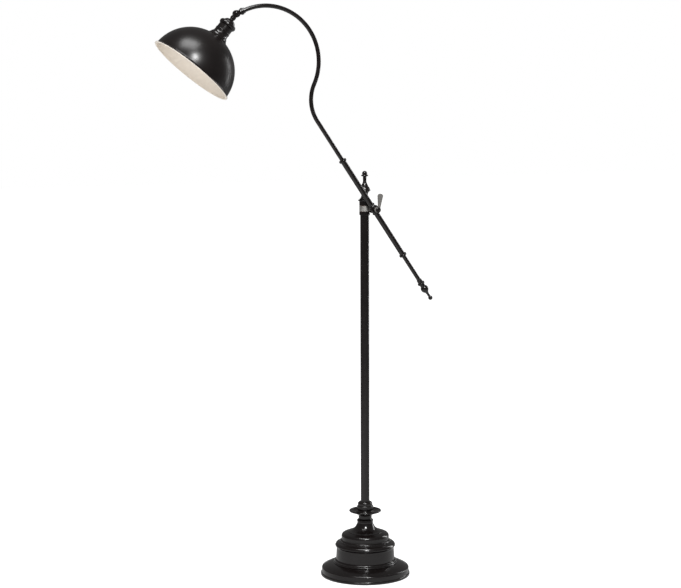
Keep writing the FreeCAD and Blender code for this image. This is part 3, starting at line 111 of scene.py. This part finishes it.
def noise(tree, place, scale, detail=3.0, roughness=0.5):
    node = tree.nodes.new("ShaderNodeTexNoise")
    node.inputs["Detail"].default_value = detail
    node.inputs["Roughness"].default_value = roughness
    tree.links.new(place, node.inputs["Vector"])
    if isinstance(scale, (int, float)):
        node.inputs["Scale"].default_value = scale
    else:
        tree.links.new(scale, node.inputs["Scale"])
    return node.outputs["Fac"]


def make_clouding_group():
    """Slow drift of shade and gloss over a finish."""
    group, start, end = new_group(
        "clouding",
        {"Colour": (0.5, 0.5, 0.5, 1.0), "Lighter Colour": (0.6, 0.6, 0.6, 1.0),
         "Cloud Scale": 30.0, "Gloss Low": 0.25, "Gloss High": 0.4},
        {"Colour": "NodeSocketColor", "Roughness": "NodeSocketFloat"},
    )
    drift = noise(group, object_place(group), start.outputs["Cloud Scale"], 4.0)
    colour = mix_colour(group, drift, start.outputs["Colour"], start.outputs["Lighter Colour"])
    group.links.new(colour, end.inputs["Colour"])
    spread = math_node(group, "SUBTRACT", start.outputs["Gloss High"], start.outputs["Gloss Low"])
    gloss = math_node(group, "MULTIPLY_ADD", drift, spread, start.outputs["Gloss Low"])
    group.links.new(gloss, end.inputs["Roughness"])
    return group


RUB_THRESHOLD = 0.62
RUB_GAIN = 9.0
RUB_ROUGHENING = 0.25


def make_scuff_group():
    """Fine hairline rubs, as a mask that is nearly all black."""
    group, start, end = new_group(
        "hairline_rubs", {"Rub Scale": 60.0, "Amount": 0.3}, {"Mask": "NodeSocketFloat"}
    )
    place = object_place(group)
    stretch = group.nodes.new("ShaderNodeMapping")
    stretch.inputs["Scale"].default_value = (1.0, 0.18, 2.6)
    stretch.inputs["Rotation"].default_value = (0.6, 0.9, 0.3)
    group.links.new(place, stretch.inputs["Vector"])
    lines = noise(group, stretch.outputs[0], start.outputs["Rub Scale"], 6.0, 0.7)
    thin = math_node(group, "SUBTRACT", lines, RUB_THRESHOLD)
    sharp = math_node(group, "MULTIPLY", thin, RUB_GAIN)
    clear = math_node(group, "MAXIMUM", sharp, 0.0)
    kept = math_node(group, "MINIMUM", clear, 1.0)
    mask = math_node(group, "MULTIPLY", kept, start.outputs["Amount"])
    group.links.new(mask, end.inputs["Mask"])
    return group


def make_skin_group():
    """The slightly pebbled skin of a sprayed or cast surface, as a height."""
    group, start, end = new_group(
        "pebbled_skin", {"Pebble Scale": 900.0, "Waviness Scale": 90.0, "Waviness": 0.4},
        {"Height": "NodeSocketFloat"},
    )
    place = object_place(group)
    pebbles = noise(group, place, start.outputs["Pebble Scale"], 2.0)
    waves = noise(group, place, start.outputs["Waviness Scale"], 2.0)
    slow = math_node(group, "MULTIPLY", waves, start.outputs["Waviness"])
    height = math_node(group, "ADD", pebbles, slow)
    group.links.new(height, end.inputs["Height"])
    return group


def make_brushing_group():
    """Brush lines that run round an upright axis, as a height."""
    group, start, end = new_group(
        "brushed_round", {"Line Scale": 60.0}, {"Height": "NodeSocketFloat"}
    )
    place = object_place(group)
    squeeze = group.nodes.new("ShaderNodeMapping")
    squeeze.inputs["Scale"].default_value = (0.35, 0.35, 30.0)
    group.links.new(place, squeeze.inputs["Vector"])
    lines = noise(group, squeeze.outputs[0], start.outputs["Line Scale"], 5.0, 0.65)
    group.links.new(lines, end.inputs["Height"])
    return group


# --------------------------------------------------------------------------
# Finishes
# --------------------------------------------------------------------------
def new_finish(name):
    material = bpy.data.materials.new(name)
    material.use_nodes = True
    tree = material.node_tree
    return material, tree, tree.nodes["Principled BSDF"]


def place_group(tree, group, **values):
    node = tree.nodes.new("ShaderNodeGroup")
    node.node_tree = group
    for label, value in values.items():
        node.inputs[label.replace("_", " ").title()].default_value = value
    return node


def add_bump(tree, shader, height, depth, strength=1.0):
    bump = tree.nodes.new("ShaderNodeBump")
    bump.inputs["Distance"].default_value = depth
    bump.inputs["Strength"].default_value = strength
    tree.links.new(height, bump.inputs["Height"])
    tree.links.new(bump.outputs["Normal"], shader.inputs["Normal"])


def finish_with(name, colour, lighter, gloss, cloud=25.0, rubs=0.2, rub_colour=None,
                pebble=900.0, waviness=0.4, depth=0.00002, metallic=0.0, specular=0.5):
    """A clouded, lightly rubbed finish with a pebbled skin."""
    material, tree, shader = new_finish(name)
    clouds = place_group(tree, CLOUDING, cloud_scale=cloud, colour=colour,
                         lighter_colour=lighter, gloss_low=gloss[0], gloss_high=gloss[1])
    worn = place_group(tree, RUBS, amount=rubs)
    mixed = mix_colour(tree, worn.outputs["Mask"], clouds.outputs["Colour"],
                       rub_colour or lighter)
    tree.links.new(mixed, shader.inputs["Base Color"])
    rough = math_node(tree, "MULTIPLY_ADD", worn.outputs["Mask"], RUB_ROUGHENING,
                      clouds.outputs["Roughness"])
    tree.links.new(rough, shader.inputs["Roughness"])
    skin = place_group(tree, SKIN, pebble_scale=pebble, waviness=waviness)
    add_bump(tree, shader, skin.outputs["Height"], depth)
    shader.inputs["Metallic"].default_value = metallic
    shader.inputs["Specular IOR Level"].default_value = specular
    return material


# Where the shade's black ends and its cream begins: on the middle of the shell, then
# along the flared lip, which starts LIP_START above the mouth, and at its edge.
SHADE_PARTING = 117.5 * MM
LIP_START = 7.0 * MM
LIP_INSIDE = 117.2 * MM
LIP_SLANT = 0.35
LIP_EDGE = 1.2 * MM

LACQUER = (0.0040, 0.0028, 0.0027, 1.0)
LACQUER_THIN = (0.0070, 0.0050, 0.0048, 1.0)
CREAM = (0.86, 0.79, 0.70, 1.0)
CREAM_PALE = (0.90, 0.84, 0.76, 1.0)


def make_black_lacquer():
    return finish_with("black_lacquer", LACQUER, LACQUER_THIN, (0.15, 0.24), cloud=18.0,
                       rubs=0.12, rub_colour=(0.03, 0.027, 0.025, 1.0), pebble=700.0,
                       waviness=0.5, depth=0.000012, specular=0.55)


def make_shade_enamel():
    """Black outside and cream inside and on the lip, parted by the shade's own shell."""
    material, tree, shader = new_finish("shade_enamel")
    axis, mouth = shade_axis()
    place = object_place(tree)
    offset = tree.nodes.new("ShaderNodeVectorMath")
    offset.operation = "SUBTRACT"
    tree.links.new(place, offset.inputs[0])
    offset.inputs[1].default_value = mouth
    reach = tree.nodes.new("ShaderNodeVectorMath")
    reach.operation = "LENGTH"
    tree.links.new(offset.outputs[0], reach.inputs[0])
    rise = tree.nodes.new("ShaderNodeVectorMath")
    rise.operation = "DOT_PRODUCT"
    tree.links.new(offset.outputs[0], rise.inputs[0])
    rise.inputs[1].default_value = axis
    from_mouth = reach.outputs["Value"]
    height = rise.outputs["Value"]
    inside = math_node(tree, "LESS_THAN", from_mouth, SHADE_PARTING)
    squared = math_node(tree, "SUBTRACT", math_node(tree, "MULTIPLY", from_mouth, from_mouth),
                        math_node(tree, "MULTIPLY", height, height))
    from_axis = math_node(tree, "SQRT", squared)
    # Along the flared lip the paint ends on the slanted underside.
    flare = math_node(tree, "SUBTRACT", LIP_START, height)
    parting = math_node(tree, "MULTIPLY_ADD", flare, LIP_SLANT, LIP_INSIDE)
    under_lip = math_node(tree, "LESS_THAN", from_axis, parting)
    on_lip = math_node(tree, "LESS_THAN", height, LIP_START)
    lip_inside = math_node(tree, "MULTIPLY", under_lip, on_lip)
    on_edge = math_node(tree, "LESS_THAN", height, LIP_EDGE)
    above = math_node(tree, "GREATER_THAN", height, LIP_START)
    pale = math_node(tree, "MAXIMUM", math_node(tree, "MULTIPLY", inside, above),
                     math_node(tree, "MAXIMUM", lip_inside, on_edge))

    black = place_group(tree, CLOUDING, cloud_scale=12.0, colour=LACQUER,
                        lighter_colour=LACQUER_THIN, gloss_low=0.26, gloss_high=0.34)
    cream = place_group(tree, CLOUDING, cloud_scale=14.0, colour=CREAM,
                        lighter_colour=CREAM_PALE, gloss_low=0.38, gloss_high=0.5)
    colour = mix_colour(tree, pale, black.outputs["Colour"], cream.outputs["Colour"])
    tree.links.new(colour, shader.inputs["Base Color"])
    spread = math_node(tree, "SUBTRACT", cream.outputs["Roughness"], black.outputs["Roughness"])
    rough = math_node(tree, "MULTIPLY_ADD", pale, spread, black.outputs["Roughness"])
    tree.links.new(rough, shader.inputs["Roughness"])
    skin = place_group(tree, SKIN, pebble_scale=520.0, waviness=0.8)
    add_bump(tree, shader, skin.outputs["Height"], 0.000014)
    shader.inputs["Specular IOR Level"].default_value = 0.4
    return material


def make_satin_nickel():
    material, tree, shader = new_finish("satin_nickel")
    clouds = place_group(tree, CLOUDING, cloud_scale=70.0, colour=(0.72, 0.70, 0.66, 1.0),
                         lighter_colour=(0.82, 0.80, 0.77, 1.0), gloss_low=0.38,
                         gloss_high=0.5)
    tree.links.new(clouds.outputs["Colour"], shader.inputs["Base Color"])
    tree.links.new(clouds.outputs["Roughness"], shader.inputs["Roughness"])
    lines = place_group(tree, BRUSHING, line_scale=70.0)
    add_bump(tree, shader, lines.outputs["Height"], 0.00001)
    shader.inputs["Metallic"].default_value = 1.0
    return material


def make_finishes():
    """One finish for each material slot of the record."""
    return {
        "black_lacquer": make_black_lacquer(),
        "shade_metal": make_shade_enamel(),
        "satin_nickel": make_satin_nickel(),
        "grey_lever": finish_with(
            "grey_lever", (0.13, 0.125, 0.118, 1.0), (0.18, 0.172, 0.162, 1.0), (0.42, 0.55),
            cloud=120.0, rubs=0.25, pebble=500.0, depth=0.00003, specular=0.4),
        "raw_steel": finish_with(
            "zinc_steel", (0.42, 0.42, 0.41, 1.0), (0.56, 0.56, 0.57, 1.0), (0.3, 0.5),
            cloud=160.0, rubs=0.4, pebble=1400.0, metallic=1.0),
        "iron": finish_with(
            "rough_iron", (0.035, 0.034, 0.034, 1.0), (0.07, 0.066, 0.062, 1.0), (0.6, 0.8),
            cloud=60.0, rubs=0.3, pebble=260.0, waviness=1.2, depth=0.0004),
        "brass": finish_with(
            "plain_brass", (0.60, 0.43, 0.16, 1.0), (0.74, 0.56, 0.27, 1.0), (0.25, 0.42),
            cloud=140.0, rubs=0.3, pebble=1200.0, metallic=1.0),
        "felt": make_felt(),
        "black_plastic": finish_with(
            "moulded_plastic", (0.012, 0.012, 0.012, 1.0), (0.02, 0.02, 0.02, 1.0),
            (0.45, 0.6), cloud=80.0, pebble=1100.0, depth=0.00004),
        "insulator": finish_with(
            "white_insulator", (0.70, 0.68, 0.62, 1.0), (0.76, 0.74, 0.69, 1.0),
            (0.12, 0.22), cloud=40.0, rubs=0.05, pebble=300.0, depth=0.00002),
        "fibre": finish_with(
            "pressed_fibre", (0.12, 0.045, 0.025, 1.0), (0.19, 0.08, 0.045, 1.0),
            (0.6, 0.75), cloud=300.0, rubs=0.2, pebble=900.0, depth=0.00005),
    }


def make_felt():
    """Short matted fibres."""
    material, tree, shader = new_finish("black_felt")
    place = object_place(tree)
    fibres = noise(tree, place, 1500.0, 8.0, 0.8)
    tufts = noise(tree, place, 160.0, 3.0)
    colour = mix_colour(tree, fibres, (0.012, 0.012, 0.012, 1.0), (0.05, 0.05, 0.05, 1.0))
    tree.links.new(colour, shader.inputs["Base Color"])
    shader.inputs["Roughness"].default_value = 0.95
    shader.inputs["Sheen Weight"].default_value = 0.4
    height = math_node(tree, "ADD", fibres, tufts)
    add_bump(tree, shader, height, 0.0004)
    return material


# --------------------------------------------------------------------------
# What the frame says about the head
# --------------------------------------------------------------------------
def joint(name):
    for made in frame["record"]["behaviour"]["joints"]:
        if made["name"] == name:
            return made
    raise LookupError(name)


def shade_axis():
    """The head's axis from the mouth to the knuckle, and the mouth's centre."""
    knuckle = Vector(joint("shade_tilt")["pos_m"])
    for mount in frame["record"]["mounts"]:
        if mount["name"] == "lamp_socket":
            axis = -Vector(mount["axis"])
    mesh = frame["nodes"]["shade"].data
    drop = min((vertex.co - knuckle).dot(axis) for vertex in mesh.vertices)
    return axis, knuckle + axis * drop


# --------------------------------------------------------------------------
# Room: a floor that fades to white, soft lamps and a plain world
# --------------------------------------------------------------------------
FLOOR_SPAN = 30.0
FLOOR_GREY = (0.6, 0.6, 0.6, 1.0)
FLOOR_GLOW = 0.74
FLOOR_FADE_START = 0.25
FLOOR_FADE_END = 1.1
WORLD_LEVEL = 0.17
WHITE = (1.0, 1.0, 1.0, 1.0)


def make_room():
    bpy.ops.object.select_all(action="DESELECT")
    bpy.ops.mesh.primitive_plane_add(size=1.0, location=(0, 0, 0))
    floor = bpy.context.object
    floor.name = "studio_floor"
    floor.scale = (FLOOR_SPAN, FLOOR_SPAN, 1.0)
    bpy.ops.object.transform_apply(location=True, rotation=False, scale=True)
    material, tree, shader = new_finish("studio_floor")
    shader.inputs["Base Color"].default_value = FLOOR_GREY
    shader.inputs["Roughness"].default_value = 0.9
    shader.inputs["Specular IOR Level"].default_value = 0.1
    path = tree.nodes.new("ShaderNodeLightPath")
    seen = math_node(tree, "MAXIMUM", path.outputs["Is Camera Ray"],
                     path.outputs["Is Transmission Ray"])
    # Further out, where the lamps no longer reach, the floor glows up to white.
    reach = tree.nodes.new("ShaderNodeVectorMath")
    reach.operation = "LENGTH"
    tree.links.new(object_place(tree), reach.inputs[0])
    fade = tree.nodes.new("ShaderNodeMapRange")
    fade.interpolation_type = "SMOOTHSTEP"
    tree.links.new(reach.outputs["Value"], fade.inputs["Value"])
    fade.inputs["From Min"].default_value = FLOOR_FADE_START
    fade.inputs["From Max"].default_value = FLOOR_FADE_END
    fade.inputs["To Min"].default_value = FLOOR_GLOW
    fade.inputs["To Max"].default_value = 1.0
    glow = math_node(tree, "MULTIPLY", seen, fade.outputs["Result"])
    tree.links.new(glow, shader.inputs["Emission Strength"])
    shader.inputs["Emission Color"].default_value = WHITE
    floor.data.materials.append(material)


def make_world():
    world = bpy.data.worlds.new("plain_room")
    world.use_nodes = True
    bpy.context.scene.world = world
    tree = world.node_tree
    back = tree.nodes["Background"]
    path = tree.nodes.new("ShaderNodeLightPath")
    seen = math_node(tree, "MAXIMUM", path.outputs["Is Camera Ray"],
                     path.outputs["Is Transmission Ray"])
    strength = math_node(tree, "MULTIPLY_ADD", seen, 1.0 - WORLD_LEVEL, WORLD_LEVEL)
    tree.links.new(strength, back.inputs["Strength"])
    back.inputs["Color"].default_value = WHITE


def soft_lamp(name, aside, rise, distance, aim, size, power):
    """An area lamp, so many degrees to the right of the camera and above it."""
    bearing = math.radians(aside - LAMP_TURN)
    height = math.radians(rise)
    flat = math.cos(height)
    towards = Vector((math.sin(bearing) * flat, -math.cos(bearing) * flat, math.sin(height)))
    place = Vector(aim) + towards * distance
    lamp = bpy.data.lights.new(name, "AREA")
    lamp.shape = "RECTANGLE"
    lamp.size, lamp.size_y = size
    lamp.energy = power
    holder = bpy.data.objects.new(name, lamp)
    holder.location = place
    holder.rotation_euler = (-towards).to_track_quat("-Z", "Y").to_euler()
    bpy.context.collection.objects.link(holder)
    return holder


def make_lights():
    soft_lamp("front_lamp", 11.0, 42.0, 3.6, (-0.15, 0, 1.0), (0.5, 0.6), 95.0)
    soft_lamp("roof_lamp", -20.0, 74.0, 2.8, (-0.2, 0, 0.9), (1.4, 1.0), 42.0)
    soft_lamp("rim_lamp", 125.0, 8.0, 3.0, (-0.1, 0, 0.9), (0.3, 2.2), 24.0)
    # A fill from below the shade, which the lacquer doesn't mirror.
    fill = soft_lamp("fill_lamp", -45.0, -28.0, 1.9, (-0.45, 0, 1.45), (1.0, 1.0), 22.0)
    fill.visible_glossy = False


# --------------------------------------------------------------------------
# Put together
# --------------------------------------------------------------------------
def dress_nodes():
    finishes = make_finishes()
    for part in frame["record"]["subparts"]:
        node = frame["nodes"][part["node"]]
        finish = finishes[part["material_slot"]]
        for slot in node.material_slots:
            slot.material = finish
        if not node.material_slots:
            node.data.materials.append(finish)


CLOUDING = make_clouding_group()
RUBS = make_scuff_group()
SKIN = make_skin_group()
BRUSHING = make_brushing_group()

make_camera()
dress_nodes()
make_room()
make_world()
make_lights()
bpy.context.scene.view_settings.view_transform = "Standard"
